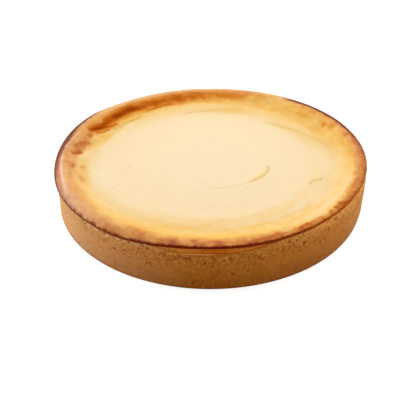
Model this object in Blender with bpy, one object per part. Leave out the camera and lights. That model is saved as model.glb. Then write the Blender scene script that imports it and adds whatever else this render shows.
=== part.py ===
"""A baked cheesecake: a shortcrust pastry case, filled to its edge with baked curd cheese.

The case is a shallow round shell with a slight taper. The filling sits in it, laps over the case's
uneven top edge and ends in a raised rim, which stands above the sunken middle.
Angles are measured round +Z from +X, in radians, and the front of the cake is towards -Y.
"""

from math import atan2, cos, pi, radians, sin
from typing import NamedTuple

import bmesh
import bpy

mm = 0.001

# The whole cake.
RIM_RADIUS = 130 * mm
BASE_RADIUS = 128.7 * mm
SEGMENTS = 112
GAP = 0.3 * mm

# The pastry case.
WALL = 5 * mm
FLOOR = 6 * mm
BOTTOM_EDGE_RADIUS = 2.5 * mm
BOTTOM_EDGE_STEPS = 3
CASE_TOP_RADIUS = RIM_RADIUS - 0.2 * mm
CASE_TOP_ROUNDING = 1 * mm
CASE_TOP_FLARE = 0.1 * mm
LOW_RING = 9 * mm
MIDDLE_RING = 19 * mm
HIGH_RING_BELOW_EDGE = 4 * mm
EDGE_BELOW_CORNER = 0.8 * mm

# The filling's outer corner: its mean height and how it rises and sinks round the cake.
CORNER_HEIGHT = 37.2 * mm
CORNER_RISE_TO_RIGHT = 3.7 * mm
CORNER_RISE_TO_FRONT = 1.8 * mm
CORNER_SAG_AT_SIDES = 0.4 * mm

# The rim's crest.
CREST_HEIGHT = 40.7 * mm
CREST_RISE_TO_FRONT = 1.8 * mm
CREST_RISE_AT_SIDES = 0.9 * mm
CREST_RADIUS = 0.955 * RIM_RADIUS

# The shoulder between the corner and the crest: shares of the rim's radius and of the rise.
SHOULDER = ((0.994, 0.45), (0.978, 0.85))

# The slope inside the crest and the middle of the top.
SLOPE_FOOT_RADIUS = 0.825 * RIM_RADIUS
SLOPE_FOOT_WIDTH = 5 * mm
SLOPE_FOOT_RISE = 1.9 * mm
FOOT_SLOW_WANDER = 1.6 * mm
FOOT_QUICK_WANDER = 1.1 * mm
MIDDLE_HEIGHT = 33.4 * mm
MIDDLE_RADIUS = 0.55 * RIM_RADIUS
MIDDLE_RIPPLE = 0.35 * mm
TOP_RINGS = (0.93, 0.905, 0.88, 0.855, 0.825, 0.79, 0.72, 0.58, 0.4, 0.2)

# Where the folds start and end on the slope, from the middle outwards.
FOLD_START = (0.74 * RIM_RADIUS, 0.86 * RIM_RADIUS)
FOLD_END = (0.88 * RIM_RADIUS, 0.96 * RIM_RADIUS)


class Dip(NamedTuple):
    """A stretch where the pastry's top edge sinks and the filling shows at the side."""

    centre: float
    half_width: float
    depth: float


class Fold(NamedTuple):
    """A crease in the rim's inner slope, running from the rim towards the middle."""

    centre: float
    half_width: float
    depth: float


DIPS = (
    Dip(radians(-89), radians(23), 4.6 * mm),
    Dip(radians(38), radians(15), 2.6 * mm),
    Dip(radians(148), radians(18), 3.4 * mm),
)

FOLDS = (
    Fold(radians(139), radians(9), 1.1 * mm),
    Fold(radians(160), radians(8), 0.9 * mm),
    Fold(radians(112), radians(10), 0.7 * mm),
    Fold(radians(48), radians(11), 0.6 * mm),
    Fold(radians(-20), radians(12), 0.5 * mm),
)


def smooth_step(value, low, high):
    """0 below low, 1 above high and an even curve between them."""
    share = min(1.0, max(0.0, (value - low) / (high - low)))
    return share * share * (3 - 2 * share)


def angle_between(a, b):
    """The angle from a to b, without its sign."""
    return abs((a - b + pi) % (2 * pi) - pi)


def bump(angle, centre, half_width):
    """1 at the centre angle, falling smoothly to 0 at half_width on each side."""
    return 1 - smooth_step(angle_between(angle, centre), 0.25 * half_width, half_width)


def corner_height(angle):
    """The height of the filling's outer corner, which stands higher at the right and the front."""
    tilt = CORNER_RISE_TO_RIGHT * cos(angle) - CORNER_RISE_TO_FRONT * sin(angle)
    return CORNER_HEIGHT + tilt - CORNER_SAG_AT_SIDES * cos(2 * angle)


def crest_height(angle):
    """The height of the rim's crest, which stands lowest at the back."""
    return CREST_HEIGHT - CREST_RISE_TO_FRONT * sin(angle) + CREST_RISE_AT_SIDES * cos(2 * angle)


def case_edge_height(angle):
    """The height of the pastry's top edge."""
    dips = sum(dip.depth * bump(angle, dip.centre, dip.half_width) for dip in DIPS)
    return corner_height(angle) - EDGE_BELOW_CORNER - dips


def shoulder_height(share):
    """A height between the corner, at share 0, and the crest, at share 1."""
    return lambda angle: corner_height(angle) + share * (crest_height(angle) - corner_height(angle))


def foot_radius(angle):
    """Where the rim's inner slope meets the middle: a line that wanders round the cake."""
    wander = FOOT_SLOW_WANDER * sin(3 * angle + 0.6) + FOOT_QUICK_WANDER * sin(7 * angle)
    return SLOPE_FOOT_RADIUS + wander


def folds_depth(radius, angle):
    """How far the creases press into the slope at a place."""
    on_slope = smooth_step(radius, *FOLD_START) * (1 - smooth_step(radius, *FOLD_END))
    return on_slope * sum(fold.depth * bump(angle, fold.centre, fold.half_width) for fold in FOLDS)


def top_height(radius):
    """The height of the top at a radius inside the crest, as a function of the angle."""

    def height(angle):
        middle = MIDDLE_HEIGHT + MIDDLE_RIPPLE * cos(2 * angle + 1) * (radius / RIM_RADIUS)
        middle += SLOPE_FOOT_RISE * smooth_step(radius, MIDDLE_RADIUS, SLOPE_FOOT_RADIUS)
        up = smooth_step(radius, foot_radius(angle) - SLOPE_FOOT_WIDTH, CREST_RADIUS)
        return middle + up * (crest_height(angle) - middle) - folds_depth(radius, angle)

    return height


def same_all_round(height):
    """A height that doesn't change with the angle."""
    return lambda angle: height


def above_case_edge(rise):
    """A height that follows the pastry's top edge."""
    return lambda angle: case_edge_height(angle) + rise


def wall_radius(height):
    """The case's outer radius at a height, on its tapered side."""
    return BASE_RADIUS + (CASE_TOP_RADIUS - BASE_RADIUS) * height / CORNER_HEIGHT


def case_profile():
    """The case's section: (radius, height) from the bottom's centre, up the outside and back inside."""
    points = [(0.0, same_all_round(0.0)), (0.5 * BASE_RADIUS, same_all_round(0.0))]
    for step in range(BOTTOM_EDGE_STEPS + 1):
        turn = step / BOTTOM_EDGE_STEPS * pi / 2
        radius = BASE_RADIUS - BOTTOM_EDGE_RADIUS * (1 - sin(turn))
        points.append((radius, same_all_round(BOTTOM_EDGE_RADIUS * (1 - cos(turn)))))
    for height in (LOW_RING, MIDDLE_RING):
        points.append((wall_radius(height), same_all_round(height)))
    inner = CASE_TOP_RADIUS - WALL
    points += [
        (CASE_TOP_RADIUS - CASE_TOP_FLARE, above_case_edge(-HIGH_RING_BELOW_EDGE)),
        (CASE_TOP_RADIUS, above_case_edge(-CASE_TOP_ROUNDING)),
        (CASE_TOP_RADIUS - 0.3 * CASE_TOP_ROUNDING, above_case_edge(-0.3 * CASE_TOP_ROUNDING)),
        (CASE_TOP_RADIUS - CASE_TOP_ROUNDING, above_case_edge(0.0)),
        (inner + CASE_TOP_ROUNDING, above_case_edge(0.0)),
        (inner, above_case_edge(-CASE_TOP_ROUNDING)),
        (wall_radius(MIDDLE_RING) - WALL, same_all_round(MIDDLE_RING)),
        (wall_radius(FLOOR) - WALL, same_all_round(FLOOR)),
        (0.0, same_all_round(FLOOR)),
    ]
    return points


def filling_profile():
    """The filling's section, from the middle of its underside, up past the case's edge to the top."""
    inner = CASE_TOP_RADIUS - WALL - GAP
    points = [
        (0.0, same_all_round(FLOOR + GAP)),
        (wall_radius(FLOOR) - WALL - GAP, same_all_round(FLOOR + GAP)),
        (wall_radius(MIDDLE_RING) - WALL - GAP, same_all_round(MIDDLE_RING)),
        (inner, above_case_edge(-CASE_TOP_ROUNDING)),
        (inner, above_case_edge(GAP)),
        (CASE_TOP_RADIUS, above_case_edge(GAP)),
        (RIM_RADIUS, corner_height),
    ]
    for radius_share, rise_share in SHOULDER:
        points.append((radius_share * RIM_RADIUS, shoulder_height(rise_share)))
    points.append((CREST_RADIUS, crest_height))
    for share in TOP_RINGS:
        points.append((share * RIM_RADIUS, top_height(share * RIM_RADIUS)))
    points.append((0.0, same_all_round(MIDDLE_HEIGHT)))
    return points


def turned_body(name, profile, material, collection):
    """Spins a section about Z, then gives each of its rings the height that it has at each angle."""
    shape = bmesh.new()
    ring = shape.verts.layers.int.new("ring")
    chain = []
    for index, (radius, height) in enumerate(profile):
        vertex = shape.verts.new((radius, 0.0, height(0.0)))
        vertex[ring] = index
        chain.append(vertex)
    edges = [shape.edges.new(pair) for pair in zip(chain, chain[1:])]
    bmesh.ops.spin(
        shape,
        geom=chain + edges,
        cent=(0.0, 0.0, 0.0),
        axis=(0.0, 0.0, 1.0),
        angle=2 * pi,
        steps=SEGMENTS,
        use_merge=True,
    )
    for vertex in shape.verts:
        radius, height = profile[vertex[ring]]
        angle = atan2(vertex.co.y, vertex.co.x)
        if radius > 0:
            vertex.co = (radius * cos(angle), radius * sin(angle), height(angle))
    bmesh.ops.remove_doubles(shape, verts=shape.verts, dist=0.01 * mm)
    bmesh.ops.recalc_face_normals(shape, faces=shape.faces)
    mesh = bpy.data.meshes.new(name)
    shape.to_mesh(mesh)
    shape.free()
    mesh.shade_smooth()
    mesh.set_sharp_from_angle(angle=radians(40))
    mesh.materials.append(material)
    body = bpy.data.objects.new(name, mesh)
    collection.objects.link(body)
    return body


def baked_material(name, colour, roughness):
    """A plain, non-metallic finish."""
    material = bpy.data.materials.new(name)
    material.use_nodes = True
    shader = material.node_tree.nodes["Principled BSDF"]
    shader.inputs["Base Color"].default_value = (*colour, 1.0)
    shader.inputs["Roughness"].default_value = roughness
    shader.inputs["Metallic"].default_value = 0.0
    return material


def main():
    for old in list(bpy.data.objects):
        bpy.data.objects.remove(old)
    cake = bpy.data.collections.new("baked_cheesecake")
    bpy.context.scene.collection.children.link(cake)
    pastry = baked_material("baked_pastry", (0.38, 0.17, 0.055), 0.8)
    cheese = baked_material("baked_cheese", (0.86, 0.68, 0.40), 0.5)
    turned_body("pastry_case", case_profile(), pastry, cake)
    turned_body("cheese_filling", filling_profile(), cheese, cake)


main()
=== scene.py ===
from math import cos, pi, radians, sin

import bpy
import numpy as np
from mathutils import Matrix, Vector, noise


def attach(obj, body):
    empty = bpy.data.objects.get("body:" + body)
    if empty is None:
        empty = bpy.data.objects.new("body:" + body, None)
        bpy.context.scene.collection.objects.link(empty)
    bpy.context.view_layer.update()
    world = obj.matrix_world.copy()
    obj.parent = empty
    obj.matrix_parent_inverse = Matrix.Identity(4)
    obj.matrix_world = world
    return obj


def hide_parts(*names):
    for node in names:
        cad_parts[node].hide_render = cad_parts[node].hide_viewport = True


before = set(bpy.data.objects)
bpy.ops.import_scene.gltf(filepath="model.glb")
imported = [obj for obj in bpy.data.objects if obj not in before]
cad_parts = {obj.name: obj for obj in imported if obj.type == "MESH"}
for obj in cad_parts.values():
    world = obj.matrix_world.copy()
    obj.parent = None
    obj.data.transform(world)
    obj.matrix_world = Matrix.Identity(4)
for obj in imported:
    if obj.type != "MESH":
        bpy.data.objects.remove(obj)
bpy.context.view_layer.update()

mm = 0.001

# The cake's form. Angles go round from +X and the front is at -90 degrees.
# Shares are of the rim's radius.
cake = {
    "rimRadius": 130 * mm,
    "baseRadius": 128.7 * mm,
    "cornerHeight": 37.2 * mm,
    "cornerToRight": 3.7 * mm,
    "cornerToFront": 1.8 * mm,
    "cornerSag": 0.4 * mm,
    # small rises and dips of the corner, in mm by angle
    "cornerWaves": ((-153, -0.3), (-138, -0.2), (-121, -1.4), (-104, 0.7), (-90, 1.0), (-76, -0.4),
                    (-62, 0.0), (-46, 0.7), (-33, 0.8), (-15, 0.4), (10, 0.0), (60, 0.3), (110, -0.2),
                    (160, 0.2)),
    "crestHeight": 40.9 * mm,
    "crestToFront": 1.5 * mm,
    "crestAtSides": 0.9 * mm,
    "crestLumps": 0.25 * mm,
    "highest": 42.03 * mm,
    # how far out the crest runs, by angle
    "crestShare": ((-160, 0.948), (-120, 0.952), (-80, 0.957), (-30, 0.965), (20, 0.962), (70, 0.955),
                   (125, 0.952), (150, 0.965), (175, 0.955)),
    # small rises of the crest, in mm by angle
    "crestWaves": ((-175, 0.3), (-140, 0.3), (-120, 0.0), (0, 0.0), (30, 0.7), (50, 0.0), (75, 0.5),
                   (90, 0.2), (105, 0.7), (125, 0.0), (135, 0.2), (150, 1.1), (165, 0.9)),
    "edgeBelowCorner": 1.1 * mm,
    "edgeRaggedness": 0.35 * mm,
    "flare": 0.2 * mm,
    "gap": 0.3 * mm,
    "wall": 5 * mm,
    "floor": 6 * mm,
    # where the pastry's edge sinks: centre, half width, depth
    "dips": ((-89, 23, 4.6 * mm), (38, 15, 2.6 * mm), (148, 18, 3.4 * mm)),
}


def smoothStep(value, low, high):
    share = np.clip((value - low) / (high - low), 0, 1)
    return share * share * (3 - 2 * share)


def band(value, riseFrom, riseTo, fallFrom, fallTo):
    # rises from 0 to 1 and falls back to 0
    return smoothStep(value, riseFrom, riseTo) * (1 - smoothStep(value, fallFrom, fallTo))


def bell(distance, width):
    return np.exp(-((distance / width) ** 2))


def angleGap(angle, centre):
    return np.abs((angle - radians(centre) + pi) % (2 * pi) - pi)


def hump(angle, centre, halfWidth):
    gap = angleGap(angle, centre)
    return 1 - smoothStep(gap, 0.25 * radians(halfWidth), radians(halfWidth))


def roundTheCake(keys, angle, soften=5):
    # a smooth value at any angle, from (degrees, value) pairs
    turns = np.arange(0, 360, 0.5)
    places, values = zip(*keys)
    track = np.interp(turns, places, values, period=360)
    reach = np.arange(-40, 41)
    weights = np.exp(-((0.5 * reach / soften) ** 2))
    padded = np.concatenate([track[-40:], track, track[:40]])
    smooth = np.convolve(padded, weights / weights.sum(), "valid")
    return np.interp(np.degrees(angle), turns, smooth, period=360)


def grain(points, size, seed=0.0, detail=1):
    # smooth noise between -1 and 1, with lumps of about that size
    moved = points / size + seed
    if detail == 1:
        return np.array([noise.noise(Vector(point)) for point in moved])
    return np.array([noise.fractal(Vector(point), 0.9, 2.1, detail) for point in moved])


def ringPoints(angle, radius=130 * mm):
    return np.stack([radius * np.cos(angle), radius * np.sin(angle), 0 * angle], 1)


def cornerHeight(angle):
    tilt = cake["cornerToRight"] * np.cos(angle) - cake["cornerToFront"] * np.sin(angle)
    waves = roundTheCake(cake["cornerWaves"], angle) * mm
    return cake["cornerHeight"] + tilt - cake["cornerSag"] * np.cos(2 * angle) + waves


def crestHeight(angle):
    rise = cake["crestAtSides"] * np.cos(2 * angle) - cake["crestToFront"] * np.sin(angle)
    return cake["crestHeight"] + rise + roundTheCake(cake["crestWaves"], angle) * mm


def crestShare(angle):
    return roundTheCake(cake["crestShare"], angle, 12)


def caseEdge(angle):
    dips = sum(depth * hump(angle, centre, halfWidth) for centre, halfWidth, depth in cake["dips"])
    points = ringPoints(angle)
    ragged = grain(points, 7 * mm, 3.1) + 0.7 * grain(points, 2.6 * mm, 8.4)
    return cornerHeight(angle) - cake["edgeBelowCorner"] - dips + cake["edgeRaggedness"] * ragged


def deselectAll():
    if bpy.context.object and bpy.context.object.mode == "EDIT":
        bpy.ops.object.mode_set(mode="OBJECT")
    bpy.ops.object.select_all(action="DESELECT")


def startPiece(name):
    piece = bpy.context.object
    piece.name = name
    piece.data.name = name
    return piece


def openEdit(piece, mode="VERT"):
    deselectAll()
    bpy.context.view_layer.objects.active = piece
    piece.select_set(True)
    bpy.ops.object.mode_set(mode="EDIT")
    bpy.ops.mesh.select_mode(type=mode)
    bpy.ops.mesh.select_all(action="DESELECT")


def closeEdit():
    bpy.ops.object.mode_set(mode="OBJECT")


def selectPoints(piece, test):
    bpy.ops.object.mode_set(mode="OBJECT")
    for vertex in piece.data.vertices:
        vertex.select = bool(test(vertex.co))
    bpy.ops.object.mode_set(mode="EDIT")


def selectRim():
    bpy.ops.mesh.select_all(action="DESELECT")
    bpy.ops.mesh.select_non_manifold(extend=False, use_wire=False, use_multi_face=False,
                                     use_non_contiguous=False, use_verts=False)


def applySubdivision(piece, levels):
    modifier = piece.modifiers.new("subdivision", "SUBSURF")
    modifier.levels = levels
    modifier.render_levels = levels
    bpy.context.view_layer.objects.active = piece
    bpy.ops.object.modifier_apply(modifier=modifier.name)


def readPoints(piece):
    points = np.zeros(len(piece.data.vertices) * 3, np.float32)
    piece.data.vertices.foreach_get("co", points)
    return points.reshape(-1, 3).astype(float)


def writePoints(piece, points):
    piece.data.vertices.foreach_set("co", points.astype(np.float32).ravel())
    piece.data.update()


def storeMask(piece, name, values):
    attribute = piece.data.attributes.get(name) or piece.data.attributes.new(name, "FLOAT", "POINT")
    attribute.data.foreach_set("value", np.asarray(values, np.float32).ravel())


def tidyNormals(piece):
    openEdit(piece)
    bpy.ops.mesh.select_all(action="SELECT")
    bpy.ops.mesh.remove_doubles(threshold=0.00001)
    bpy.ops.mesh.normals_make_consistent(inside=False)
    closeEdit()
    bpy.ops.object.shade_smooth()


def distanceToLine(points, line):
    # the distance of each point from a line through the given places, and how far along it lies
    knots = np.array(line, float)
    best = np.full(len(points), 1e9)
    along = np.zeros(len(points))
    steps = len(knots) - 1
    for index in range(steps):
        start, end = knots[index], knots[index + 1]
        run = end - start
        share = np.clip(((points - start) @ run) / (run @ run), 0, 1)
        gap = np.hypot(*(points - start - share[:, None] * run).T)
        nearer = gap < best
        best[nearer] = gap[nearer]
        along[nearer] = (index + share[nearer]) / steps
    return best, along


def smoothLine(knots, pieces=8):
    # a curve through the knots, as a chain of short straight pieces
    ends = [knots[0], *knots, knots[-1]]
    knots = [np.array(knot, float) for knot in ends]
    line = []
    for before, start, end, after in zip(knots, knots[1:], knots[2:], knots[3:]):
        for step in range(pieces):
            t = step / pieces
            slope = end - before
            curve = 2 * before - 5 * start + 4 * end - after
            twist = 3 * start - before - 3 * end + after
            line.append(0.5 * (2 * start + slope * t + curve * t ** 2 + twist * t ** 3))
    line.append(knots[-1])
    return line


filling = {
    "segments": 100,
    "skirtShare": 1.06,
    "ringShares": (1.0, 0.955, 0.915, 0.875, 0.835, 0.79, 0.745, 0.70),
    "footShare": 0.825,
    "footWander": 2.6 * mm,
    "footRise": 1.9 * mm,
    "slopeStart": 5 * mm,
    "middleHeight": 33.4 * mm,
    "middleWave": 0.35 * mm,
    # how far the side draws in over a dip of the pastry, and towards the pastry's edge
    "tuck": 0.4 * mm,
    "drawIn": 0.3 * mm,
    # height and size of the lumps, and height of the spatula's strokes
    "lumps": 0.28 * mm,
    "lumpSize": 22 * mm,
    "smallLumps": 0.10 * mm,
    "smallLumpSize": 6 * mm,
    "swirls": 0.07 * mm,
    # sizes of the browning's soft clouds, wisps and flecks
    "cloudSize": 30 * mm,
    "wispSize": 9 * mm,
    "fleckSize": 3.9 * mm,
    "scorchGrain": 2.4 * mm,
    # long lines in the skin: the places they run through, width, depth, how dark; the darkening is
    # partly yellower skin and partly painted shade in the crease
    "creases": (
        (((0.376, -0.068), (0.365, -0.147), (0.318, -0.215), (0.227, -0.283)), 0.019, 0.45 * mm, 1.0),
        (((0.227, -0.283), (0.11, -0.325), (-0.02, -0.34)), 0.014, 0.15 * mm, 0.4),
        (((0.606, -0.305), (0.648, -0.260), (0.682, -0.260), (0.713, -0.227)), 0.021, 0.3 * mm, 1.0),
        (((0.664, -0.53), (0.69, -0.505)), 0.014, 0.4 * mm, 0.6),
        (((0.386, -0.868), (0.432, -0.812), (0.468, -0.721), (0.481, -0.639)), 0.013, 0.3 * mm, 0.5),
        (((-0.20, 0.625), (-0.11, 0.66), (0.0, 0.678), (0.12, 0.685), (0.20, 0.70), (0.26, 0.72)),
         0.022, 0.2 * mm, 0.9),
        (((0.39, 0.51), (0.517, 0.434), (0.61, 0.36), (0.719, 0.262), (0.80, 0.13)),
         0.024, 0.22 * mm, 0.85),
        (((-0.72, 0.34), (-0.64, 0.40), (-0.57, 0.49), (-0.47, 0.60)), 0.013, 0.6 * mm, 0.6),
    ),
    # the yellow glow beside the curled crease: places and width
    "glow": (((0.362, -0.10), (0.346, -0.14), (0.325, -0.172), (0.295, -0.205), (0.25, -0.235)), 0.017),
    # raised folds of skin at the foot of the slope: places, width, height
    "folds": (
        (((-0.85, 0.25), (-0.76, 0.33), (-0.66, 0.42), (-0.56, 0.53)), 0.030, 0.9 * mm),
        (((-0.90, 0.10), (-0.83, 0.18), (-0.75, 0.27)), 0.035, 0.9 * mm),
        (((-0.86, -0.22), (-0.84, -0.08), (-0.80, 0.04), (-0.75, 0.16)), 0.030, 0.7 * mm),
    ),
    # streaks in the browning: places, width, strength
    "streaks": (
        (((-0.85, 0.32), (-0.77, 0.40), (-0.69, 0.50), (-0.61, 0.62), (-0.52, 0.71)), 0.036, 0.20),
        (((-0.84, 0.305), (-0.79, 0.34), (-0.73, 0.382), (-0.68, 0.415), (-0.63, 0.475)), 0.022, 0.32),
        (((-0.78, 0.30), (-0.73, 0.335), (-0.685, 0.375)), 0.009, 0.24),
        (((-0.46, 0.66), (-0.415, 0.685), (-0.364, 0.725), (-0.31, 0.755), (-0.25, 0.785)), 0.011, 0.17),
        (((-0.24, 0.80), (-0.14, 0.815), (0.0, 0.825), (0.12, 0.835)), 0.011, 0.08),
        (((-0.67, 0.42), (-0.60, 0.48), (-0.53, 0.53), (-0.48, 0.60)), 0.010, 0.14),
        (((-0.80, 0.225), (-0.75, 0.285), (-0.70, 0.33), (-0.64, 0.39)), 0.015, -0.14),
        (((-0.82, 0.24), (-0.79, 0.265)), 0.018, 0.14),
        (((-0.87, 0.14), (-0.83, 0.155), (-0.79, 0.18)), 0.026, 0.14),
        (((-0.895, -0.01), (-0.86, 0.025), (-0.835, 0.06)), 0.020, 0.22),
        (((-0.90, 0.08), (-0.86, 0.14)), 0.014, 0.12),
        (((-0.86, -0.03), (-0.82, 0.02), (-0.80, 0.09)), 0.018, -0.12),
        (((-0.83, -0.20), (-0.84, -0.08), (-0.83, -0.01)), 0.014, -0.10),
        (((-0.22, 0.585), (0.03, 0.605), (0.21, 0.585), (0.37, 0.535)), 0.014, 0.05),
        (((-0.28, -0.75), (-0.17, -0.76), (0.0, -0.77)), 0.014, 0.05),
        (((0.20, -0.70), (0.32, -0.66), (0.44, -0.59), (0.53, -0.51)), 0.012, 0.04),
        (((0.19, -0.76), (0.30, -0.73), (0.40, -0.67), (0.50, -0.59)), 0.012, 0.05),
        (((0.16, -0.83), (0.30, -0.80), (0.42, -0.73)), 0.012, -0.04),
    ),
    # browned patches: centre, half length, half width, turn in degrees, strength
    "patches": (
        ((-0.565, 0.652), 0.055, 0.026, 41, 0.10),
        ((-0.662, 0.549), 0.050, 0.024, 50, 0.10),
        ((-0.76, 0.44), 0.030, 0.018, 60, -0.10),
        ((-0.81, -0.13), 0.026, 0.016, 80, 0.20),
        ((-0.862, -0.15), 0.040, 0.020, 85, 0.20),
        ((-0.855, 0.03), 0.030, 0.018, 80, 0.12),
        ((-0.79, -0.28), 0.045, 0.018, 105, 0.20),
        ((-0.86, -0.27), 0.060, 0.018, 100, 0.10),
        ((0.785, 0.41), 0.020, 0.014, 60, 0.26),
        ((0.50, 0.79), 0.040, 0.030, -30, -0.16),
        ((0.57, 0.72), 0.040, 0.020, -35, -0.12),
        ((0.86, 0.33), 0.030, 0.020, -65, -0.12),
        ((0.61, 0.61), 0.060, 0.022, -42, 0.12),
        ((0.68, 0.54), 0.050, 0.020, -45, 0.10),
        ((0.82, 0.37), 0.045, 0.018, -65, 0.10),
        ((0.87, 0.17), 0.035, 0.018, -80, 0.12),
        ((0.03, -0.955), 0.035, 0.012, 0, 0.16),
        ((0.09, -0.960), 0.020, 0.010, 6, 0.12),
        ((0.32, -0.915), 0.050, 0.014, 20, 0.20),
        ((0.58, -0.765), 0.070, 0.014, 37, 0.16),
        ((0.79, -0.57), 0.070, 0.018, 52, 0.22),
        ((0.885, -0.36), 0.060, 0.016, 66, 0.16),
        ((-0.27, -0.93), 0.020, 0.010, -16, 0.14),
        ((-0.19, -0.965), 0.030, 0.010, -11, 0.12),
        ((-0.08, -0.945), 0.022, 0.010, -5, 0.10),
    ),
    # how brown the skin is at each share of the way out, by angle
    "browning": (
        (0.70, ((-165, 0.01), (-120, 0.14), (-90, 0.22), (-75, 0.20), (-20, 0.12), (5, 0.08),
                (30, 0.28), (50, 0.21), (60, 0.22), (75, 0.36), (90, 0.26), (135, 0.19), (150, 0.13))),
        (0.76, ((-180, 0.18), (-165, 0.06), (-135, 0.19), (-105, 0.27), (-85, 0.22), (-70, 0.15),
                (-25, 0.11), (0, 0.10), (15, 0.26), (35, 0.25), (60, 0.29), (75, 0.34), (90, 0.28),
                (120, 0.30), (135, 0.37), (155, 0.38))),
        (0.81, ((-180, 0.29), (-165, 0.35), (-145, 0.20), (-105, 0.31), (-80, 0.26), (-60, 0.29),
                (-25, 0.15), (0, 0.21), (15, 0.32), (30, 0.40), (75, 0.41), (90, 0.49), (105, 0.60),
                (120, 0.53), (133, 0.58), (147, 0.53), (157, 0.50), (168, 0.42))),
        (0.86, ((-180, 0.53), (-165, 0.41), (-147, 0.24), (-120, 0.38), (-60, 0.33), (-30, 0.24),
                (0, 0.31), (30, 0.42), (60, 0.38), (75, 0.56), (90, 0.74), (120, 0.84), (140, 0.75),
                (155, 0.67), (165, 0.66))),
        (0.905, ((-180, 0.56), (-165, 0.47), (-150, 0.46), (-135, 0.37), (-90, 0.44), (-70, 0.36),
                 (-42, 0.20), (-15, 0.23), (0, 0.50), (12, 0.42), (30, 0.52), (60, 0.38), (75, 0.70),
                 (105, 0.74), (120, 0.63), (133, 0.72), (150, 0.47), (165, 0.48), (175, 0.56))),
        (0.94, ((-180, 0.60), (-165, 0.40), (-150, 0.50), (-105, 0.50), (-75, 0.60), (-60, 0.34),
                (-45, 0.22), (-28, 0.53), (45, 0.56), (60, 0.48), (72, 0.68), (90, 0.50),
                (105, 0.54), (120, 0.44), (135, 0.40), (150, 0.45), (165, 0.58))),
        (0.972, ((-165, 0.66), (-145, 0.42), (-120, 0.60), (-95, 0.66), (-70, 0.74), (-45, 0.60),
                 (-15, 0.60), (15, 0.72), (50, 0.72), (58, 0.34), (75, 0.48), (90, 0.18),
                 (105, 0.32), (125, 0.18), (135, 0.28), (150, 0.50), (170, 0.66))),
    ),
    # where the scorched line begins, how soft and strong it is and how dusty it looks, by angle
    "scorchStart": ((-180, 0.947), (-170, 0.961), (-160, 0.983), (-150, 0.988), (-112, 0.989),
                    (-95, 0.982), (-70, 0.983), (-55, 0.979), (-30, 0.975), (0, 0.974), (15, 0.967),
                    (30, 0.961), (55, 0.957), (95, 0.985), (135, 0.968), (143, 0.963), (150, 0.952),
                    (160, 0.952), (170, 0.938)),
    "scorchSoftness": ((-175, 0.013), (-160, 0.006), (-70, 0.006), (-50, 0.010), (-20, 0.011),
                       (0, 0.010), (20, 0.006), (150, 0.010), (170, 0.014)),
    "scorchStrength": ((-180, 1.0), (-150, 0.95), (-90, 1.0), (-55, 0.95), (-38, 0.9), (-22, 0.65),
                       (-5, 0.5), (15, 0.8), (30, 1.0), (53, 1.0), (57, 0.0), (132, 0.0), (138, 0.6),
                       (150, 1.0)),
    "dusty": ((-180, 1.0), (-155, 0.9), (-140, 0.5), (-125, 0.1), (-105, 0.0), (-30, 0.0), (0, 0.5),
              (45, 1.0), (90, 0.5), (140, 1.0)),
    # how much lighter and redder the line is
    "ember": ((-80, 0.0), (-55, 0.6), (-38, 1.0), (-20, 0.8), (0, 0.3), (12, 0.0)),
    # the dusky band beside that line and where it begins
    "rind": ((-175, 0.9), (-160, 0.9), (-148, 0.8), (-132, 0.45), (-118, 0.2), (-100, 0.0),
             (-35, 0.0), (-22, 0.4), (-8, 0.45), (0, 0.4), (15, 0.5), (30, 0.3), (55, 0.1),
             (70, 0.0), (145, 0.0), (155, 0.3), (167, 0.85)),
    "rindStart": ((-180, 0.945), (-165, 0.962), (-150, 0.972), (-120, 0.975), (-25, 0.945), (-5, 0.950),
                  (15, 0.958), (40, 0.958), (150, 0.945), (170, 0.935)),
    # how glossy and how rosy the shoulder is, and how rosy the slope inside it, by angle; the rosy tone
    # is partly the skin's own colour and partly a painted reflection
    "glaze": ((-180, 0.8), (-150, 1.0), (-115, 0.3), (-85, 0.0), (-45, 0.0), (0, 0.3), (45, 0.3),
              (90, 0.0), (145, 0.5)),
    "blush": ((-180, 0.9), (-150, 1.0), (-118, 0.30), (-85, 0.30), (-45, 0.1), (0, 0.4), (45, 0.3),
              (60, 0.5), (80, 0.6), (100, 0.9), (130, 0.9), (160, 1.0)),
    "blushAndReflectionInside": ((-150, 0.55), (-130, 0.3), (-105, 0.0), (140, 0.0), (160, 0.4), (175, 0.6)),
    # where the rim's steep outside is browned like the front, with a dark line at the pastry
    "flank": ((40, 0.0), (60, 0.6), (75, 1.0), (145, 1.0), (160, 0.5), (172, 0.0), (-90, 0.0)),
    # browner streaks on the left slope
    "tan": ((-150, 1.0), (-120, 0.0), (158, 0.0), (165, 1.0)),
    # a painted highlight: the bright line along the left shoulder
    "shine": (((-0.88, 0.30), (-0.92, 0.16), (-0.942, 0.06), (-0.948, -0.04), (-0.938, -0.15),
               (-0.912, -0.28), (-0.87, -0.42), (-0.82, -0.53)), 0.008),
    # the strip under the scorched line: how dark it is by angle
    "amberDepth": ((-108, -0.2), (-98, 0.1), (-91, 0.9), (-86, 0.9), (-80, 0.3), (-70, -0.1),
                   (-60, -0.2)),
    # pits: how many, how far out, and their sizes in shares and depths in mm
    "pits": 240,
    "pitReach": 0.95,
    "pitSizes": (0.006, 0.011),
    "pitDepths": (0.08, 0.35),
    "seed": 4,
}


def topHeight(share, angle, points):
    radius = share * cake["rimRadius"]
    wander = grain(points, 17 * mm, 1.7) * filling["footWander"]
    foot = filling["footShare"] * cake["rimRadius"] + wander
    middle = filling["middleHeight"] + filling["middleWave"] * np.cos(2 * angle + 1) * share
    middle = middle + filling["footRise"] * smoothStep(share, 0.55, filling["footShare"])
    up = smoothStep(radius, foot - filling["slopeStart"], crestShare(angle) * cake["rimRadius"])
    crest = crestHeight(angle) + cake["crestLumps"] * grain(ringPoints(angle), 24 * mm, 5.5)
    crest = np.minimum(np.maximum(crest, cornerHeight(angle) + 0.1 * mm), cake["highest"])
    return middle + up * (crest - middle), crest


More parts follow.
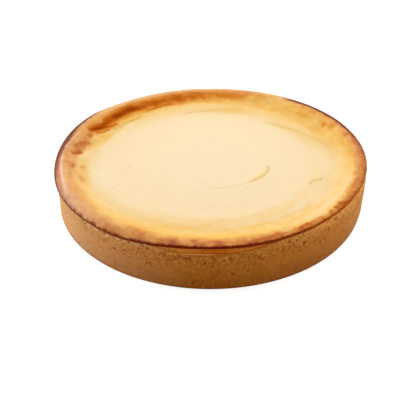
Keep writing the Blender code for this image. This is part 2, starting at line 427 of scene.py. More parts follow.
def buildFilling():
    rim = cake["rimRadius"]
    count = filling["segments"]
    deselectAll()
    bpy.ops.mesh.primitive_circle_add(vertices=count, radius=filling["skirtShare"] * rim,
                                      fill_type="NGON", location=(0, 0, 0))
    piece = startPiece("cheeseFilling")
    openEdit(piece, "FACE")
    bpy.ops.mesh.select_all(action="SELECT")
    outer = filling["skirtShare"]
    for share in filling["ringShares"]:
        bpy.ops.mesh.inset(thickness=(outer - share) * rim * cos(pi / count), depth=0)
        outer = share
    bpy.ops.mesh.delete(type="FACE")
    bpy.ops.mesh.select_mode(type="VERT")
    selectPoints(piece, lambda place: place.length < (outer + 0.01) * rim)
    bpy.ops.mesh.select_mode(type="EDGE")
    bpy.ops.mesh.fill_grid(span=count // 4, offset=0)
    selectPoints(piece, lambda place: place.length < (outer - 0.01) * rim)
    bpy.ops.mesh.vertices_smooth(factor=0.5, repeat=30)
    closeEdit()
    applySubdivision(piece, 3)
    print("filling: flat cage", len(piece.data.polygons), "faces")
    shapeFilling(piece)
    closeFilling(piece)
    return piece


def shapeFilling(piece):
    rim = cake["rimRadius"]
    flat = readPoints(piece)
    angle = np.arctan2(flat[:, 1], flat[:, 0])
    share = np.hypot(flat[:, 0], flat[:, 1])
    share = share / share.max() * filling["skirtShare"]
    direction = np.stack([np.cos(angle), np.sin(angle)], 1)
    onRim = ringPoints(angle)
    crown = crestShare(angle)
    top, crest = topHeight(np.minimum(share, crown), angle, onRim)
    corner = cornerHeight(angle)

    # the shoulder, a quarter of an ellipse from the crest down to the corner
    turn = np.clip((share - crown) / (1 - crown), 0, 1) * pi / 2
    radius = np.where(share < crown, share * rim, rim * (crown + (1 - crown) * np.sin(turn)))
    height = np.where(share < crown, top, crest - (crest - corner) * (1 - np.cos(turn)))

    # the skirt, from the corner down to the pastry's edge
    down = np.clip((share - 1) / (filling["skirtShare"] - 1), 0, 1)
    low = caseEdge(angle) + cake["gap"]
    height = np.where(share > 1, corner + (low - corner) * down, height)
    tuck = filling["tuck"] * smoothStep(down, 0, 0.35) * smoothStep(corner - low, 0.5 * mm, 3 * mm)
    radius = radius - np.where(share > 1, tuck + filling["drawIn"] * down, 0)

    place = direction * radius[:, None]
    onPlane = np.stack([place[:, 0], place[:, 1], 0 * radius], 1)
    plan = place / rim
    onTop = 1 - smoothStep(share, 0.97, 1.0)
    onSlope = band(share, 0.74, 0.86, 0.93, 0.97)

    # lumps and the shallow strokes of the spatula
    lumps = grain(onPlane, filling["lumpSize"], 2.2, 3)
    smallLumps = grain(onPlane, filling["smallLumpSize"], 9.1, 2)
    height = height + filling["lumps"] * lumps * onTop * (0.5 + 0.9 * onSlope)
    height = height + filling["smallLumps"] * smallLumps * onTop * (0.35 + 1.6 * onSlope)
    swirlSpot = np.stack([share * 22, 1.3 * np.cos(angle), 1.3 * np.sin(angle)], 1)
    swirls = grain(swirlSpot, 1.0, 6.6)
    swirlArea = band(share, 0.25, 0.6, 0.88, 0.95) * (0.35 + 0.9 * hump(angle, -50, 75))
    height = height + filling["swirls"] * swirls * swirlArea

    # folds, creases and pits
    foldsPaleAndLit = np.zeros(len(plan))
    for line, width, rise in filling["folds"]:
        gap, along = distanceToLine(plan, smoothLine(line))
        bulge = bell(gap, width) * band(along, 0, 0.2, 0.75, 1)
        height = height + rise * bulge
        foldsPaleAndLit = np.maximum(foldsPaleAndLit, bulge)
    creaseShading = np.zeros(len(plan))
    for line, width, depth, darkness in filling["creases"]:
        gap, along = distanceToLine(plan, smoothLine(line))
        ends = band(along, -0.1, 0.15, 0.8, 1.1)
        dent = bell(gap, 0.55 * width) * ends
        height = height - depth * dent
        height = height + 0.4 * depth * bell(gap - width, 0.6 * width) * ends
        creaseShading = np.maximum(creaseShading, darkness * dent)
    pitted = np.zeros(len(plan))
    picker = np.random.default_rng(filling["seed"])
    for index in range(filling["pits"]):
        pitShare = filling["pitReach"] * np.sqrt(picker.random())
        pitAngle = 2 * pi * picker.random()
        pitSize = picker.uniform(*filling["pitSizes"])
        pitDepth = picker.uniform(*filling["pitDepths"]) * mm
        spot = np.array([pitShare * cos(pitAngle), pitShare * sin(pitAngle)])
        near = np.abs(plan - spot).max(1) < 0.03
        dent = bell(np.hypot(*(plan[near] - spot).T), pitSize)
        height[near] -= pitDepth * dent
        pitted[near] = np.maximum(pitted[near], dent * pitDepth / (filling["pitDepths"][1] * mm))

    height = np.minimum(height, cake["highest"])
    points = np.stack([place[:, 0], place[:, 1], height], 1)
    writePoints(piece, points)

    # browning
    cloud = grain(onPlane, filling["cloudSize"], 4.4, 3)
    wisps = grain(onPlane, filling["wispSize"], 7.7, 3)
    flecks = grain(onPlane, filling["fleckSize"], 12.3, 2)
    streaky = grain(np.stack([share * 26, 9 * np.cos(angle), 9 * np.sin(angle)], 1), 1.0, 3.9, 3)
    bend = 0.008 * cloud + 0.010 * wisps + 0.006 * flecks
    bent = share + bend * (1 - smoothStep(share, 0.94, 0.985))
    toast = 0.04 * smoothStep(bent, 0.25, 0.6)
    before, level = 0.60, 0.04
    for zoneShare, keys in filling["browning"]:
        zoneLevel = roundTheCake(keys, angle)
        toast = toast + (zoneLevel - level) * smoothStep(bent, before, zoneShare)
        before, level = zoneShare, zoneLevel
    onBrown = smoothStep(toast, 0.35, 0.7)
    for centre, halfLength, halfWidth, turned, strength in filling["patches"]:
        away = plan - np.array(centre)
        lengthwise = away[:, 0] * cos(radians(turned)) + away[:, 1] * sin(radians(turned))
        across = -away[:, 0] * sin(radians(turned)) + away[:, 1] * cos(radians(turned))
        blot = np.exp(-((lengthwise / halfLength) ** 2 + (across / halfWidth) ** 2) * (1 + 0.5 * wisps))
        toast = toast + strength * blot
    for line, width, strength in filling["streaks"]:
        gap, along = distanceToLine(plan, smoothLine(line))
        streak = np.exp(-((gap / width) ** 2) * (1 + 0.4 * wisps))
        toast = toast + strength * band(along, 0, 0.15, 0.8, 1) * streak
    # the raised folds painted a little paler: partly less browned skin, partly painted light on their
    # crests
    toast = toast - 0.05 * foldsPaleAndLit
    toast = toast + 0.07 * hump(angle, 38, 42) * wisps * smoothStep(share, 0.78, 0.82) * (share < 0.95)
    toast = toast + 0.05 * hump(angle, -75, 70) * streaky * band(share, 0.5, 0.7, 0.88, 0.93)
    toast = toast + 0.03 * cloud * smoothStep(share, 0.5, 0.8)
    toast = toast + (0.02 + 0.06 * onBrown) * (wisps + streaky) * smoothStep(share, 0.6, 0.85)
    blotches = np.maximum(flecks + wisps, -0.25) * band(share, 0.93, 0.955, 0.985, 1)
    toast = toast + (0.07 + 0.13 * hump(angle, -68, 58)) * blotches
    under = smoothStep((corner - height) / mm, 1.2, 2.1) * (share > 1)
    scorchFrom = roundTheCake(filling["scorchStart"], angle, 3)
    softness = roundTheCake(filling["scorchSoftness"], angle)
    crumbled = grain(onPlane, filling["scorchGrain"], 15.5) * hump(angle, -150, 55)
    ragged = 0.003 * flecks + 0.007 * crumbled
    scorched = smoothStep(share + ragged, scorchFrom - softness, scorchFrom + softness) * (1 - under)
    scorched = scorched * roundTheCake(filling["scorchStrength"], angle, 2)
    flank = smoothStep(share, 0.984, 0.993) * (1 - under) * roundTheCake(filling["flank"], angle, 3)
    edgeLine = smoothStep(share + 0.3 * ragged, 0.9965, 1.0)
    edgeLine = edgeLine * (1 - smoothStep(corner - height, 0.5 * mm, 1.3 * mm))
    scorched = scorched * (1 - flank) + flank * edgeLine
    toast = toast * (1 - flank) + flank * (0.60 + 0.16 * flecks + 0.08 * wisps)
    shoulder = smoothStep(share, 0.925, 0.960)
    # rosy tone: partly the skin's own colour, partly a painted reflection
    blush = smoothStep(share, 0.90, 0.955) * (1 - under) * roundTheCake(filling["blush"], angle)
    inside = smoothStep(share, 0.78, 0.85) * band(toast, 0.25, 0.45, 0.55, 0.72)
    blush = np.maximum(blush, inside * (share < 1) * roundTheCake(filling["blushAndReflectionInside"], angle))
    rindFrom = roundTheCake(filling["rindStart"], angle)
    rind = smoothStep(share + 0.006 * flecks, rindFrom - 0.010, rindFrom + 0.008)
    rind = rind * (1 - scorched) * (1 - under) * (1 - flank)
    # the painted highlight along the left shoulder
    line, width = filling["shine"]
    gap, along = distanceToLine(plan, smoothLine(line))
    shine = bell(gap, width) * band(along, 0, 0.15, 0.8, 1)
    line, width = filling["glow"]
    gap, along = distanceToLine(plan, smoothLine(line))
    glowing = bell(gap, width) * band(along, -0.1, 0.4, 0.6, 1.1)
    glaze = shoulder * (share <= 1) * (1 - scorched)
    tan = smoothStep(toast, 0.45, 0.80) * band(share, 0.78, 0.83, 0.91, 0.93)
    # pits painted darker: partly moister skin, partly painted shade in the hollow
    pitShadeTint = 0.35 * pitted * (share < 0.97) * (1 - onBrown)
    storeMask(piece, "toast", np.clip(toast, 0, 1))
    storeMask(piece, "scorch", scorched)
    storeMask(piece, "amber", under)
    storeMask(piece, "amberDepth", roundTheCake(filling["amberDepth"], angle, 3))
    for name in ("dusty", "ember"):
        storeMask(piece, name, roundTheCake(filling[name], angle))
    storeMask(piece, "blush", blush)
    storeMask(piece, "rind", rind * roundTheCake(filling["rind"], angle))
    storeMask(piece, "glaze", glaze * roundTheCake(filling["glaze"], angle))
    storeMask(piece, "tan", tan * roundTheCake(filling["tan"], angle, 3))
    storeMask(piece, "shine", shine * (share < 1))
    storeMask(piece, "creaseGlow", glowing)
    # creases and pits: partly their own colour, partly painted shade
    storeMask(piece, "crease", np.clip(creaseShading + pitShadeTint, 0, 1))
    print("filling: shaped, with", len(filling["creases"]), "creases and", filling["pits"], "pits")


def closeFilling(piece):
    # the hidden underside: a lap over the pastry's edge, the wall inside it and the floor
    openEdit(piece)
    selectRim()
    extrudeTo(piece, cake["rimRadius"] - cake["flare"] - cake["wall"] - cake["gap"], None)
    openEdit(piece)
    selectRim()
    extrudeTo(piece, cake["baseRadius"] - cake["wall"] - cake["gap"], cake["floor"] + cake["gap"])
    openEdit(piece)
    selectRim()
    bpy.ops.mesh.edge_face_add()
    closeEdit()
    tidyNormals(piece)


def extrudeTo(piece, radius, height):
    # extrudes the selected ring to a radius, and to a height unless it is None
    bpy.ops.object.mode_set(mode="EDIT")
    bpy.ops.mesh.extrude_region_move(TRANSFORM_OT_translate={"value": (0, 0, 0)})
    closeEdit()
    for vertex in piece.data.vertices:
        if vertex.select:
            flat = Vector((vertex.co.x, vertex.co.y, 0)).normalized() * radius
            vertex.co = (flat.x, flat.y, vertex.co.z if height is None else height)


pastry = {
    "segments": 120,
    "rows": 10,
    "bottomRounding": 2.5 * mm,
    "lip": 3 * mm,
    "lipRounding": 0.7 * mm,
    "lipSag": 0.25 * mm,
    # lines along the edge: angle, half width in degrees, mm below the edge, thickness in mm
    # a painted highlight along the lip
    "lipHighlight": (-94, 8, 0.7, 0.8),
    # painted shade: a dark line where a groove under the lip would lie in shade
    "groove": (-92, 10, 2.1, 0.5),
    "stain": (-86, 32, 0, 1.3),
    "singed": (-62, 18, 0, 1.1),
    "crumbly": (-128, 30, 1.6, 1.5),
    # depth and size of the wall's dents and crumbs
    "undulation": 0.35 * mm,
    "undulationSize": 19 * mm,
    "crumble": 0.24 * mm,
    "crumbSize": 3.2 * mm,
    # how far the wall bulges, in mm by angle
    "bulge": ((-175, -0.3), (-160, -1.3), (-145, -1.0), (-125, 0.0), (-65, 0.2), (-48, 1.1), (-30, 1.3),
              (-15, 1.0), (-4, 0.3), (20, 0.3), (60, 0.0), (150, 0.0)),
    # pores and larger holes: how many, and their widths and depths in mm
    "finePores": 3200,
    "poreWidths": (0.38, 0.65),
    "poreDepths": (0.15, 0.45),
    "holes": 60,
    "holeWidths": (0.7, 1.1),
    "holeDepths": (0.5, 0.9),
    # the largest holes: angle, mm below the edge, width and depth in mm
    "marks": ((-127, 0.8, 1.6, 1.0), (-136.5, 9, 1.0, 0.8), (-123.5, 1.2, 1.0, 0.8),
              (-95.5, 27.4, 1.4, 0.7), (-110, 3.1, 1.1, 0.8), (-64, 4.1, 1.4, 0.9),
              (-61, 5.5, 0.9, 0.7), (-58, 9.9, 1.3, 0.9), (-83.5, 4.8, 1.2, 0.8),
              (-82.5, 19.3, 1.3, 0.7), (-77.5, 18.8, 1.0, 0.6), (-74, 8.8, 1.1, 0.8),
              (-73, 11.5, 1.0, 0.8), (-91.5, 9, 1.0, 0.7), (-59.5, 15.3, 0.9, 0.7),
              (-109.5, 16, 1.0, 0.6), (-96.5, 5.3, 1.1, 0.8), (-104.5, 5.4, 1.1, 0.8),
              (-47.5, 8, 1.1, 0.8), (-44, 3.7, 1.6, 0.8), (20, 8, 1.1, 0.8), (52, 14, 1.2, 0.7),
              (88, 6, 1.2, 0.8), (121, 17, 1.1, 0.7), (163, 9, 1.2, 0.8)),
    "markStretch": 1.2,
    # how pale the pastry is, partly left so by the oven and partly painted light on the sides that face
    # the side lamps, and how much it glows under the edge, by angle
    "pale": ((-180, 1.0), (-150, 0.95), (-135, 0.60), (-118, 0.30), (-95, 0.0), (-65, 0.04),
             (-40, 0.12), (-15, 0.48), (20, 0.40), (80, 0.15), (130, 0.5)),
    "edgeGlow": ((-180, 0.3), (-130, 0.3), (-112, 0.25), (-100, 0.08), (-80, 0.12), (-62, 0.7),
                 (-45, 0.9), (-25, 0.85), (-12, 0.35), (90, 0.25)),
    "seed": 11,
}


def buildPastry():
    rim = cake["rimRadius"]
    count, rows = pastry["segments"], pastry["rows"]
    deselectAll()
    bpy.ops.mesh.primitive_cylinder_add(vertices=count, radius=rim, depth=rows, end_fill_type="NOTHING",
                                        location=(0, 0, rows / 2))
    piece = startPiece("pastryCase")
    # the upright edges are cut into rows
    openEdit(piece, "EDGE")
    closeEdit()
    for edge in piece.data.edges:
        first, second = (piece.data.vertices[index].co for index in edge.vertices)
        edge.select = abs(first.z - second.z) > 0.5
    bpy.ops.object.mode_set(mode="EDIT")
    bpy.ops.mesh.subdivide(number_cuts=rows - 1)
    closeEdit()
    deselectAll()
    piece.select_set(True)
    bpy.context.view_layer.objects.active = piece
    bpy.ops.object.transform_apply(location=True, rotation=True, scale=True)
    applySubdivision(piece, 3)
    print("pastry: straight wall", len(piece.data.polygons), "faces")
    shapePastry(piece)
    closePastry(piece)
    return piece


def lineBelowEdge(name, angle, below):
    centre, halfWidth, down, thickness = pastry[name]
    away = below - down if down else np.maximum(below, 0)
    return hump(angle, centre, halfWidth) * bell(away, thickness)


def shapePastry(piece):
    rows = pastry["rows"]
    flat = readPoints(piece)
    angle = np.arctan2(flat[:, 1], flat[:, 0])
    level = np.clip(flat[:, 2], 0, rows)
    edge = caseEdge(angle)
    rounding = pastry["bottomRounding"]
    topRadius = cake["rimRadius"] - cake["flare"]

    # the first row rounds the bottom, the last row is the lip, the others are the wall
    wallShare = np.clip((level - 1) / (rows - 2), 0, 1)
    height = rounding + wallShare * (edge - rounding)
    radius = cake["baseRadius"] + (topRadius - cake["baseRadius"]) * height / cake["cornerHeight"]
    turn = np.clip(level, 0, 1) * pi / 2
    height = np.where(level < 1, rounding * (1 - np.cos(turn)), height)
    radius = np.where(level < 1, cake["baseRadius"] - rounding * (1 - np.sin(turn)), radius)
    overLip = np.clip(level - (rows - 1), 0, 1)
    radius = radius - pastry["lip"] * overLip
    height = height - pastry["lipSag"] * overLip
    rounded = pastry["lipRounding"] * bell(level - (rows - 1), 0.35)
    radius = radius - 0.5 * rounded
    height = height - 0.5 * rounded

    direction = np.stack([np.cos(angle), np.sin(angle)], 1)
    around = direction * cake["rimRadius"]
    spot = np.stack([around[:, 0], around[:, 1], height], 1)
    below = (edge - height) / mm
    onWall = band(level, 0.2, 1.2, rows - 0.6, rows - 0.1)
    rough = smoothStep(below, -0.5, 2.0) * (1 - 0.75 * smoothStep(below, 10, 20))
    waves = grain(spot, pastry["undulationSize"], 1.3, 2)
    crumbs = grain(spot, pastry["crumbSize"], 5.9, 3)
    dent = pastry["undulation"] * (0.5 + 0.5 * waves) * onWall
    dent = dent + pastry["crumble"] * (1 + crumbs) * onWall * (0.35 + 0.65 * rough)

    # pores and holes, thickest in a band under the edge
    picker = np.random.default_rng(pastry["seed"])
    poreShading = np.zeros(len(spot))
    order = np.argsort(angle)
    sortedAngle = angle[order]
    pores = []
    for turned, down, width, depth in pastry["marks"]:
        pores.append((radians(turned), down, width * mm, depth * mm, pastry["markStretch"]))
    for index in range(pastry["finePores"] + pastry["holes"]):
        kind = "hole" if index >= pastry["finePores"] else "pore"
        poreAngle = picker.uniform(-pi, pi)
        depthDown = abs(picker.normal(6, 5)) if picker.random() < 0.75 else picker.uniform(1, 34)
        poreWidth = picker.uniform(*pastry[kind + "Widths"]) * mm
        poreDepth = picker.uniform(*pastry[kind + "Depths"]) * mm
        pores.append((poreAngle, depthDown, poreWidth, poreDepth, picker.uniform(0.8, 1.7)))
    reach = 3.5 * mm / cake["rimRadius"]
    for poreAngle, depthDown, poreWidth, poreDepth, stretch in pores:
        first, last = np.searchsorted(sortedAngle, [poreAngle - reach, poreAngle + reach])
        near = order[first:last]
        if len(near) == 0:
            continue
        sideways = (angle[near] - poreAngle) * cake["rimRadius"] / stretch
        updown = (below[near] - depthDown) * mm
        hole = np.exp(-((sideways / poreWidth) ** 2 + (updown / poreWidth) ** 2) ** 1.5)
        dent[near] += poreDepth * hole * onWall[near]
        poreShading[near] = np.maximum(poreShading[near], hole * min(1, poreDepth / (0.6 * mm)) * onWall[near])
    bulge = roundTheCake(pastry["bulge"], angle) * mm
    bulge = bulge * smoothStep(height / mm, 0, 8) * (0.2 + 0.8 * smoothStep(below, 0.5, 7))
    radius = radius - dent + bulge * (level < rows - 0.5)
    points = np.stack([direction[:, 0] * radius, direction[:, 1] * radius, np.maximum(height, 0)], 1)
    writePoints(piece, points)
    # the pores' depth, for painted shade in them
    storeMask(piece, "pore", poreShading)
    storeMask(piece, "belowEdge", below / 40)
    for name in ("pale", "edgeGlow"):
        storeMask(piece, name, roundTheCake(pastry[name], angle))
    # painted highlight on the lip
    storeMask(piece, "lip", lineBelowEdge("lipHighlight", angle, below))
    # the groove's painted shade, with the singed line at the edge
    groove = lineBelowEdge("groove", angle, below)
    storeMask(piece, "groove", np.maximum(groove, lineBelowEdge("singed", angle, below)))
    storeMask(piece, "stained", lineBelowEdge("stain", angle, below))
    storeMask(piece, "crumbly", lineBelowEdge("crumbly", angle, below))
    print("pastry: shaped, with", len(pores), "pores")


def closePastry(piece):
    # the underside and the hidden inside
    openEdit(piece)
    selectRim()
    closeEdit()
    top = [vertex.select and vertex.co.z > 0.02 for vertex in piece.data.vertices]
    for vertex, isTop in zip(piece.data.vertices, top):
        vertex.select = isTop
    extrudeTo(piece, cake["rimRadius"] - cake["flare"] - cake["wall"], None)
    extrudeTo(piece, cake["baseRadius"] - cake["wall"], cake["floor"])
    bpy.ops.object.mode_set(mode="EDIT")
    bpy.ops.mesh.edge_face_add()
    closeEdit()
    # the underside: one ring and a face
    openEdit(piece)
    selectRim()
    extrudeTo(piece, cake["baseRadius"] - pastry["bottomRounding"] - 2 * mm, 0.0)
    bpy.ops.object.mode_set(mode="EDIT")
    bpy.ops.mesh.edge_face_add()
    closeEdit()
    tidyNormals(piece)


class Wire:
    def __init__(self, tree, socket=None):
        self.tree = tree
        self.socket = socket

    def node(self, kind, settings=None, values=None, output=0):
        made = self.tree.nodes.new(kind)
        for name, value in (settings or {}).items():
            if name == "stops":
                ramp = made.color_ramp
                while len(ramp.elements) < len(value):
                    ramp.elements.new(0.5)
                for element, (position, colour) in zip(ramp.elements, value):
                    element.position = position
                    element.color = (*colour, 1)
            else:
                setattr(made, name, value)
        for name, value in (values or {}).items():
            if isinstance(value, Wire):
                self.tree.links.new(value.socket, made.inputs[name])
            else:
                made.inputs[name].default_value = value
        return Wire(self.tree, made.outputs[output])

    def math(self, operation, first, second=0.0):
        return self.node("ShaderNodeMath", {"operation": operation}, {0: first, 1: second})

    def __add__(self, other):
        return self.math("ADD", self, other)

    def __radd__(self, other):
        return self.math("ADD", other, self)

    def __sub__(self, other):
        return self.math("SUBTRACT", self, other)

    def __rsub__(self, other):
        return self.math("SUBTRACT", other, self)

    def __mul__(self, other):
        return self.math("MULTIPLY", self, other)

    def __rmul__(self, other):
        return self.math("MULTIPLY", other, self)

    def __truediv__(self, other):
        return self.math("DIVIDE", self, other)

    def limited(self):
        return self.math("MINIMUM", self.math("MAXIMUM", self, 0.0), 1.0)

    def mask(self, name):
        return self.node("ShaderNodeAttribute", {"attribute_name": name}, output="Fac")

    def noise(self, place, size, detail=3, roughness=0.55):
        values = {"Vector": place, "Scale": 1 / size, "Detail": detail, "Roughness": roughness}
        return self.node("ShaderNodeTexNoise", {}, values, "Fac")

    def cells(self, place, size):
        return self.node("ShaderNodeTexVoronoi", {}, {"Vector": place, "Scale": 1 / size}, "Distance")

    def step(self, value, low, high):
        return self.node("ShaderNodeMapRange", {"interpolation_type": "SMOOTHSTEP"},
                         {0: value, 1: low, 2: high}, 0)

    def mix(self, factor, first, second):
        first = first if isinstance(first, Wire) else (*first, 1)
        second = second if isinstance(second, Wire) else (*second, 1)
        return self.node("ShaderNodeMix", {"data_type": "RGBA"}, {0: factor, 6: first, 7: second}, 2)

    def layered(self, colour, look, layers):
        for amount, name in layers:
            colour = self.mix(amount, colour, look[name])
        return colour


def newMaterial(name):
    material = bpy.data.materials.new(name)
    material.use_nodes = True
    return material, material.node_tree.nodes["Principled BSDF"], Wire(material.node_tree)


def plug(shader, name, wire):
    wire.tree.links.new(wire.socket, shader.inputs[name])


cheeseLook = {
    # from the palest skin to the darkest browning
    "bake": ((0.00, (0.965, 0.775, 0.500)), (0.10, (0.955, 0.73, 0.417)), (0.20, (0.935, 0.667, 0.322)),
             (0.30, (0.92, 0.60, 0.210)), (0.40, (0.90, 0.535, 0.137)), (0.50, (0.84, 0.425, 0.088)),
             (0.60, (0.755, 0.300, 0.045)), (0.70, (0.665, 0.205, 0.020)), (0.80, (0.56, 0.135, 0.009)),
             (0.90, (0.45, 0.085, 0.004)), (1.00, (0.33, 0.050, 0.002))),
    # rosy colour, partly the skin's own and partly a painted reflection
    "blush": (0.80, 0.42, 0.31),
    "freckle": (0.44, 0.17, 0.10),
    "rind": (0.46, 0.185, 0.105),
    "rindRusty": (0.55, 0.17, 0.055),
    "scorch": (0.155, 0.006, 0.0004),
    "scorchDusty": (0.22, 0.072, 0.036),
    "ember": (0.30, 0.045, 0.001),
    "amber": (0.49, 0.11, 0.001),
    "amberLight": (0.60, 0.20, 0.022),
    "amberDark": (0.24, 0.05, 0.001),
    # colour of the painted highlight
    "shine": (0.98, 0.66, 0.49),
    # colour of creases and pits, partly painted shade
    "creaseShadeTint": (0.80, 0.54, 0.185),
    "creaseGlow": (0.98, 0.73, 0.29),
    "tan": (0.47, 0.16, 0.045),
    "roughness": 0.5,
}


def cheeseMaterial():
    material, shader, wire = newMaterial("bakedCheese")
    place = wire.node("ShaderNodeTexCoord", output="Object")
    toast, scorch, amber = wire.mask("toast"), wire.mask("scorch"), wire.mask("amber")
    blush, glaze, rind, depth = (wire.mask(name) for name in ("blush", "glaze", "rind", "amberDepth"))
    speckle = wire.noise(place, 2.2 * mm, 4, 0.65)
    mottle = wire.noise(place, 6 * mm, 4, 0.6)
    browned = wire.step(toast, 0.2, 0.7)
    tone = toast + (mottle - 0.5) * (0.03 + 0.15 * browned)
    tone = tone + (speckle - 0.5) * (0.02 + 0.09 * browned)
    colour = wire.node("ShaderNodeValToRGB", {"stops": cheeseLook["bake"]}, {0: tone.limited()})
    # rosy tone on the shoulder: partly the skin's own colour, partly a painted reflection of white light
    colour = wire.mix(blush * 0.5, colour, cheeseLook["blush"])
    freckles = wire.step(wire.noise(place, 1.4 * mm, 3, 0.7), 0.50, 0.66)
    freckles = freckles * blush * wire.step(toast, 0.25, 0.45)
    colour = wire.mix(freckles * 0.45, colour, cheeseLook["freckle"])
    rindColour = wire.mix((blush * 2 - 0.9).limited(), cheeseLook["rindRusty"], cheeseLook["rind"])
    colour = wire.mix((rind * (0.9 + (mottle - 0.5) * 1.2)).limited(), colour, rindColour)
    colour = wire.layered(colour, cheeseLook, (
        # painted highlight along the left shoulder
        (wire.mask("shine") * 0.75, "shine"),
        (wire.mask("creaseGlow") * 0.85, "creaseGlow"),
        # creases and pits painted darker: partly their own colour, partly painted shade
        (wire.mask("crease") * 0.75, "creaseShadeTint"),
        (wire.mask("tan") * 0.6, "tan"),
    ))
    burnt = wire.mix(wire.mask("dusty"), cheeseLook["scorch"], cheeseLook["scorchDusty"])
    burnt = wire.mix(wire.mask("ember"), burnt, cheeseLook["ember"])
    ragged = scorch + (wire.noise(place, 1.7 * mm, 3, 0.65) - 0.5) * scorch * (1 - scorch) * 9
    colour = wire.mix(ragged.limited() * 0.98, colour, burnt)
    streaks = wire.noise(place, 3.0 * mm, 4, 0.6)
    depth = (depth + (streaks - 0.5) * 0.8).limited()
    strip = wire.mix(depth, cheeseLook["amberLight"], cheeseLook["amber"])
    specks = wire.step(wire.noise(place, 2.6 * mm, 4, 0.65), 0.50, 0.64)
    strip = wire.mix(specks * 0.6, strip, cheeseLook["amberDark"])
    colour = wire.mix(amber, colour, strip)
    plug(shader, "Base Color", colour)
    rough = cheeseLook["roughness"] + (speckle - 0.5) * 0.16 - amber * 0.18
    plug(shader, "Roughness", rough)
    shader.inputs["Specular IOR Level"].default_value = 0.0
    plug(shader, "Coat Weight", (glaze * 0.3 + amber * 0.06 + (1 - browned) * 0.05).limited())
    shader.inputs["Coat Roughness"].default_value = 0.32
    fine = wire.noise(place, 0.9 * mm, 3, 0.6) * 0.5 + wire.noise(place, 3 * mm, 3, 0.6) * 0.8
    fine = fine + mottle * 0.8
    bump = wire.node("ShaderNodeBump", {}, {"Strength": 0.35, "Distance": 0.25 * mm, "Height": fine})
    plug(shader, "Normal", bump)
    return material


pastryLook = {
    # pale colour: paler baking and painted side light, and also light crumbs
    "light": (0.74, 0.42, 0.195),
    "edge": (0.78, 0.325, 0.07),
    "baked": (0.435, 0.135, 0.012),
    # darker low wall: browner baking and painted shade
    "deepBakeAndShade": (0.28, 0.078, 0.005),
    # painted shade at the foot of the wall
    "foot": (0.17, 0.045, 0.003),
    "crumb": (0.70, 0.285, 0.04),
    # colour of the painted highlight on the lip
    "lip": (0.80, 0.32, 0.08),
    "amber": (0.50, 0.125, 0.004),
    # dark specks of crumb, and painted shade in pores, holes and the groove
    "darkSpeckAndShade": (0.20, 0.045, 0.002),
    "roughness": 0.9,
}


def pastryMaterial():
    material, shader, wire = newMaterial("bakedPastry")
    place = wire.node("ShaderNodeTexCoord", output="Object")
    below, pale, crumbly = wire.mask("belowEdge") * 40, wire.mask("pale"), wire.mask("crumbly")
    height = wire.node("ShaderNodeSeparateXYZ", {}, {0: place}, 2) / mm
    broad = wire.noise(place, 24 * mm, 3, 0.55)
    flour = wire.noise(place, 5 * mm, 3, 0.6)
    grit = wire.noise(place, 2.6 * mm, 3, 0.65)
    crumb = wire.noise(place, 1.6 * mm, 3, 0.7)
    upper = wire.step(below + (broad - 0.5) * 8, 17.0, 4.0)
    # darker towards the bottom of the wall: partly browner baking, partly painted shade near the floor
    lowBakeAndShade = wire.step(height + (broad - 0.5) * 14, 26.0, 1.0)
    colour = wire.mix(lowBakeAndShade, pastryLook["baked"], pastryLook["deepBakeAndShade"])
    nearTop = wire.step(below + (flour - 0.5) * 8, 12.0, 1.0)
    # fine pores, thick in the upper part of the wall and sparse below
    crowded = wire.step(wire.noise(place, 4 * mm, 2, 0.5), 0.60 - 0.24 * upper, 0.68)
    holes = wire.step(wire.cells(place, 1.9 * mm), 0.42, 0.20) * crowded
    colour = wire.layered(colour, pastryLook, (
        (nearTop * wire.mask("edgeGlow"), "edge"),
        # paler towards the sides: partly paler baking, partly painted light from the side lamps
        (pale * (0.8 + (flour - 0.5) * 0.5), "light"),
        # painted shade on the bottom 5 mm of the wall, where it meets the floor
        (wire.step(height, 5.0, 0.5) * 0.55, "foot"),
        # light crumbs and dark specks, strongest in the upper part of the wall
        (wire.step(grit, 0.52, 0.66) * (0.16 + 0.50 * upper), "crumb"),
        (wire.step(grit, 0.46, 0.32) * (0.24 + 0.30 * upper), "darkSpeckAndShade"),
        (wire.step(crumb, 0.44, 0.30) * (0.12 + 0.30 * upper), "darkSpeckAndShade"),
        (crumbly * wire.step(grit, 0.42, 0.55) * 0.8, "light"),
        (crumbly * wire.step(flour, 0.48, 0.36) * 0.8, "darkSpeckAndShade"),
        # painted shade in the holes and pores, with their darker crumb
        (holes * (0.75 - 0.45 * pale), "darkSpeckAndShade"),
        (wire.mask("pore") * (0.78 - 0.35 * pale), "darkSpeckAndShade"),
        # what lies along the edge: painted shade in the groove, a stain and a painted highlight on the
        # lip
        (wire.mask("groove") * 0.55, "darkSpeckAndShade"),
        (wire.mask("stained") * wire.step(flour, 0.35, 0.55), "amber"),
        # painted highlight on the lip
        (wire.mask("lip") * 0.85, "lip"),
    ))
    plug(shader, "Base Color", colour)
    plug(shader, "Roughness", pastryLook["roughness"] + (crumb - 0.5) * 0.2)
    relief = grit * 0.8 + crumb * 0.6 + flour * 0.6 - holes * 0.9
    bump = wire.node("ShaderNodeBump", {}, {"Strength": 0.8, "Distance": 0.4 * mm, "Height": relief})
    plug(shader, "Normal", bump)
    shader.inputs["Specular IOR Level"].default_value = 0.0
    shader.inputs["Sheen Weight"].default_value = 0.05
    shader.inputs["Sheen Roughness"].default_value = 0.5
    shader.inputs["Sheen Tint"].default_value = (1, 0.8, 0.5, 1)
    return material


fillingPiece = buildFilling()
pastryPiece = buildPastry()
fillingPiece.data.materials.clear()
fillingPiece.data.materials.append(cheeseMaterial())
pastryPiece.data.materials.clear()
pastryPiece.data.materials.append(pastryMaterial())
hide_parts("cheese_filling")
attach(fillingPiece, "root")
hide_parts("pastry_case")
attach(pastryPiece, "root")
print("materials on")

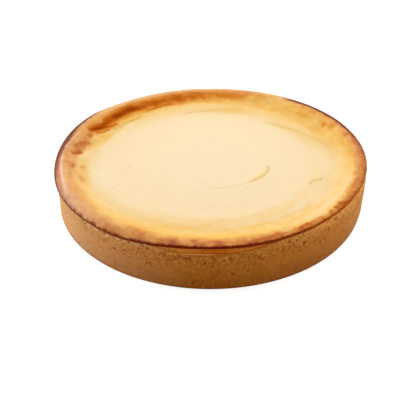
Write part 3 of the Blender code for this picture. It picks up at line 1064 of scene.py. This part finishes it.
studio = {
    "floorTone": 0.45,
    "floorGlow": 0.50,
    "floorSeenGlow": 0.80,
    "worldLight": 0.48,
    "lights": (
        # name, place, size, watts
        ("back", (-0.15, 1.0, 1.0), 1.3, 10.5),
        ("left", (-1.15, 0.15, 0.30), 0.8, 9),
        ("right", (1.15, 0.2, 0.30), 0.8, 8),
    ),
    "aim": (0, 0, 0.02),
    "cameraDistance": 0.65,
    "cameraElevation": 33.65,
    "cameraAim": (-0.0020, -0.0223, 0),
    "lens": 64.68,
}


def grey(tone):
    return (tone, tone, tone)


def buildStudio():
    deselectAll()
    bpy.ops.mesh.primitive_plane_add(size=30, location=(0, 0, -0.0002))
    floor = startPiece("floor")
    material, shader, wire = newMaterial("paleFloor")
    shader.inputs["Base Color"].default_value = (*grey(studio["floorTone"]), 1)
    shader.inputs["Roughness"].default_value = 0.9
    shader.inputs["Specular IOR Level"].default_value = 0.1
    shader.inputs["Emission Strength"].default_value = 1
    seen = wire.node("ShaderNodeLightPath", output="Is Camera Ray")
    glow = wire.mix(seen, grey(studio["floorGlow"]), grey(studio["floorSeenGlow"]))
    plug(shader, "Emission Color", glow)
    floor.data.materials.append(material)
    for name, place, size, watts in studio["lights"]:
        bpy.ops.object.light_add(type="AREA", location=place)
        lamp = bpy.context.object
        lamp.name = name + "Light"
        lamp.data.size = size
        lamp.data.energy = watts
        ray = Vector(studio["aim"]) - Vector(place)
        lamp.rotation_euler = ray.to_track_quat("-Z", "Y").to_euler()
    world = bpy.data.worlds.new("studioWorld")
    world.use_nodes = True
    wire = Wire(world.node_tree)
    seen = wire.node("ShaderNodeLightPath", output="Is Camera Ray")
    light = wire.mix(seen, grey(studio["worldLight"]), grey(1))
    plug(world.node_tree.nodes["Background"], "Color", light)
    scene = bpy.context.scene
    scene.world = world
    scene.view_settings.view_transform = "Standard"
    angle = radians(studio["cameraElevation"])
    away = studio["cameraDistance"]
    place = Vector((0, -away * cos(angle), away * sin(angle)))
    bpy.ops.object.camera_add(location=place)
    camera = bpy.context.object
    camera.data.lens = studio["lens"]
    camera.rotation_euler = (Vector(studio["cameraAim"]) - place).to_track_quat("-Z", "Y").to_euler()
    scene.camera = camera
    print("studio: floor, lights and camera")


buildStudio()
deselectAll()
